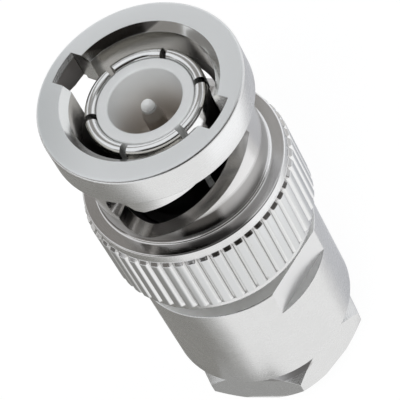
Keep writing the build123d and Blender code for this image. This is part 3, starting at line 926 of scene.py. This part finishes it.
floorLook = {
    "half": 1500.0, "drop": 3.9,  # the drop leaves room for the clamp nut's travel
    "colour": (0.85, 0.85, 0.85), "roughness": 0.9, "glow": 1.12, "glowShare": 0.8,
}


def floorPlane(s):
    mesh = bpy.data.meshes.new("floor")
    half = s["half"] * mm
    corners = [(-half, -half, 0), (half, -half, 0), (half, half, 0), (-half, half, 0)]
    mesh.from_pydata(corners, [], [(0, 1, 2, 3)])
    plane = bpy.data.objects.new("floor", mesh)
    bpy.context.scene.collection.objects.link(plane)
    plane.location.z = -s["drop"] * mm
    material = bpy.data.materials.new("paleFloor")
    material.use_nodes = True
    tree = material.node_tree
    start = Wire(tree, None)
    shader = tree.nodes["Principled BSDF"]
    shader.inputs["Base Color"].default_value = (*s["colour"], 1)
    shader.inputs["Roughness"].default_value = s["roughness"]
    glow = start.node("ShaderNodeEmission", {}, {"Color": (1, 1, 1, 1), "Strength": s["glow"]})
    matt = Wire(tree, shader.outputs[0])
    mixed = start.node("ShaderNodeMixShader", {}, {0: raysSeen(tree) * s["glowShare"], 1: matt, 2: glow})
    tree.links.new(mixed.socket, tree.nodes["Material Output"].inputs["Surface"])
    mesh.materials.append(material)


def reflectedOnly(name, points, faces, grey):
    # a studio card that only shows in polished metal
    mesh = bpy.data.meshes.new(name)
    mesh.from_pydata([tuple(p) for p in points], [], faces)
    card = bpy.data.objects.new(name, mesh)
    bpy.context.scene.collection.objects.link(card)
    card.visible_camera = card.visible_diffuse = card.visible_shadow = card.visible_transmission = False
    material = bpy.data.materials.new(name)
    material.use_nodes = True
    tree = material.node_tree
    glow = Wire(tree, None).node("ShaderNodeEmission", {}, {"Color": (*grey, 1), "Strength": 1.0})
    tree.links.new(glow.socket, tree.nodes["Material Output"].inputs["Surface"])
    mesh.materials.append(material)


cardSizes = {
    # in millimetres: where a floor card starts and ends, and how high a patch and how far a sky card lies
    "side": 5.9, "reach": 60, "floorSteps": 24, "patchHeight": 0.01, "skyRadius": 700.0, "skySteps": (16, 6),
}


def floorCard(name, start, end, grey, near=0):
    # the stretch of floor that the plug's side shows the photo's camera between two azimuths, in degrees:
    # from a point at azimuth p on the side the view goes on along azimuth 2 p + 90
    s = cardSizes
    p = np.radians(np.linspace(start, end, s["floorSteps"]))
    side = np.stack([np.cos(p), np.sin(p), 0 * p], axis=1) * s["side"]
    away = np.stack([np.cos(2 * p + np.pi / 2), np.sin(2 * p + np.pi / 2), 0 * p], axis=1)
    points = np.concatenate([side + away * near, side + away * s["reach"]]) * mm
    reflectedOnly(name, points, gridFaces(2, s["floorSteps"], False, False).tolist(), grey)


def floorPatch(name, corners, grey):
    # flat patch above the floor cards, corners in millimetres
    points = [(x * mm, y * mm, cardSizes["patchHeight"] * mm) for x, y in corners]
    reflectedOnly(name, points, [tuple(range(len(corners)))], grey)


def skyCard(name, azimuths, elevations, grey):
    # patch of a sphere round the plug: (cos e cos a, cos e sin a, sin e), angles in degrees
    columns, rows = cardSizes["skySteps"]
    a, e = np.meshgrid(np.radians(np.linspace(*azimuths, columns)), np.radians(np.linspace(*elevations, rows)),
                       indexing="ij")
    points = np.stack([np.cos(e) * np.cos(a), np.cos(e) * np.sin(a), np.sin(e)], axis=-1).reshape(-1, 3)
    faces = gridFaces(columns, rows, False, False).tolist()
    reflectedOnly(name, points * cardSizes["skyRadius"] * mm, faces, grey)


def softBox(name, place, size, power, target):
    light = bpy.data.lights.new(name, "AREA")
    light.shape, light.size, light.size_y, light.energy = "RECTANGLE", size, size, power
    lamp = bpy.data.objects.new(name, light)
    lamp.location = place
    lamp.rotation_mode = "QUATERNION"
    lamp.rotation_quaternion = (Vector(target) - Vector(place)).to_track_quat("-Z", "Y")
    bpy.context.scene.collection.objects.link(lamp)
    lamp.visible_glossy = False


studioLook = {
    "sky": (0.95, 0.97, 1.0), "seen": 1.0, "lighting": 0.42,  # strength as seen, and as light on matt surfaces
    # lamps: place and side in metres, power in watts
    "lamps": {"key": ((-0.12, -0.3, 0.36), 0.25, 0.8), "fill": ((0.25, -0.1, 0.35), 0.3, 0.25)},
    "lampTarget": (0, 0, 0.015),
    # floor cards: start and end azimuth, colour, and for the last one how far out it begins, in millimetres
    "floor": [
        (-172, -127, (0.30, 0.295, 0.28)), (-127, -120, (0.46, 0.46, 0.45)), (-120, -115, (0.72, 0.72, 0.72)),
        (-46, -39, (0.80, 0.80, 0.81)), (-39, -12, (0.62, 0.63, 0.66)), (-12, 20, (0.75, 0.76, 0.78)),
        (-76, -46, (1.25, 1.26, 1.28), 19),
    ],
    "hexagonPatch": ([(-0.4, -6.9), (-6.2, -2.7), (-9.2, -4.0), (-3.2, -8.1)], (0.40, 0.40, 0.395)),
    # sky cards: azimuths, elevations, colour
    "skyCards": [
        ((130, 172), (-1, 24), (0.25, 0.245, 0.24)),
        ((-150, -38), (43, 64), (0.05, 0.045, 0.04)), ((-139, -53), (28, 43), (0.02, 0.018, 0.015)),
        ((-52, -10), (16, 43), (0.16, 0.155, 0.15)), ((-185, -139), (14, 43), (0.28, 0.27, 0.26)),
        ((-110, -20), (6, 28), (0.13, 0.125, 0.12)), ((-38, 55), (43, 62), (0.36, 0.36, 0.36)),
        ((55, 122), (42, 62), (0.30, 0.29, 0.28)),
    ],
}


def studio(s):
    world = bpy.data.worlds.new("studio")
    bpy.context.scene.world = world
    world.use_nodes = True
    tree = world.node_tree
    background = tree.nodes["Background"]
    background.inputs["Color"].default_value = (*s["sky"], 1)
    level = raysSeen(tree) * (s["seen"] - s["lighting"]) + s["lighting"]
    tree.links.new(level.socket, background.inputs["Strength"])
    for name, lamp in s["lamps"].items():
        softBox(name, *lamp, s["lampTarget"])
    for i, card in enumerate(s["floor"]):
        floorCard(f"floorCard{i + 1}", *card)
    floorPatch("hexagonPatch", *s["hexagonPatch"])
    for i, card in enumerate(s["skyCards"]):
        skyCard(f"skyCard{i + 1}", *card)


cameraFit = {
    # angles in degrees, distance in millimetres, the rest in pixels of the photo
    "tilt": 38.36, "lean": 59.82, "distance": 169.79, "focalPixels": 2700.0, "frame": 400.0,
    "faceCentre": (138.66, 89.93), "sensor": 36.0, "clip": (0.005, 5.0),
}


def photoCamera(s):
    # a is the plug's axis, front to rear, in the camera's own axes (right, down, forward)
    t, b = math.radians(s["tilt"]), math.radians(s["lean"])
    a = Vector((math.sin(t) * math.cos(b), math.sin(t) * math.sin(b), math.cos(t)))
    u = Vector((-math.sin(b), math.cos(b), 0))
    v = a.cross(u)
    turn = Matrix((-u, v, -a))  # rows: the plug's own axes as the camera sees them
    centre = Vector(((s["faceCentre"][0] - s["frame"] / 2) / s["focalPixels"],
                     (s["faceCentre"][1] - s["frame"] / 2) / s["focalPixels"], 1)) * s["distance"]
    right, down, forward = (turn @ Vector(e) for e in ((1, 0, 0), (0, 1, 0), (0, 0, 1)))
    place = Vector((0, 0, heights("coupling_nut")[1])) - turn @ centre
    data = bpy.data.cameras.new("photoCamera")
    data.sensor_width = s["sensor"]
    data.lens = s["focalPixels"] / s["frame"] * data.sensor_width
    data.clip_start, data.clip_end = s["clip"]
    camera = bpy.data.objects.new("photoCamera", data)
    axes = Matrix((right, -down, -forward)).transposed().to_4x4()
    camera.matrix_world = Matrix.Translation(place * mm) @ axes
    bpy.context.scene.collection.objects.link(camera)
    bpy.context.scene.camera = camera


floorPlane(floorLook)
studio(studioLook)
photoCamera(cameraFit)
bpy.context.scene.view_settings.view_transform = "Standard"
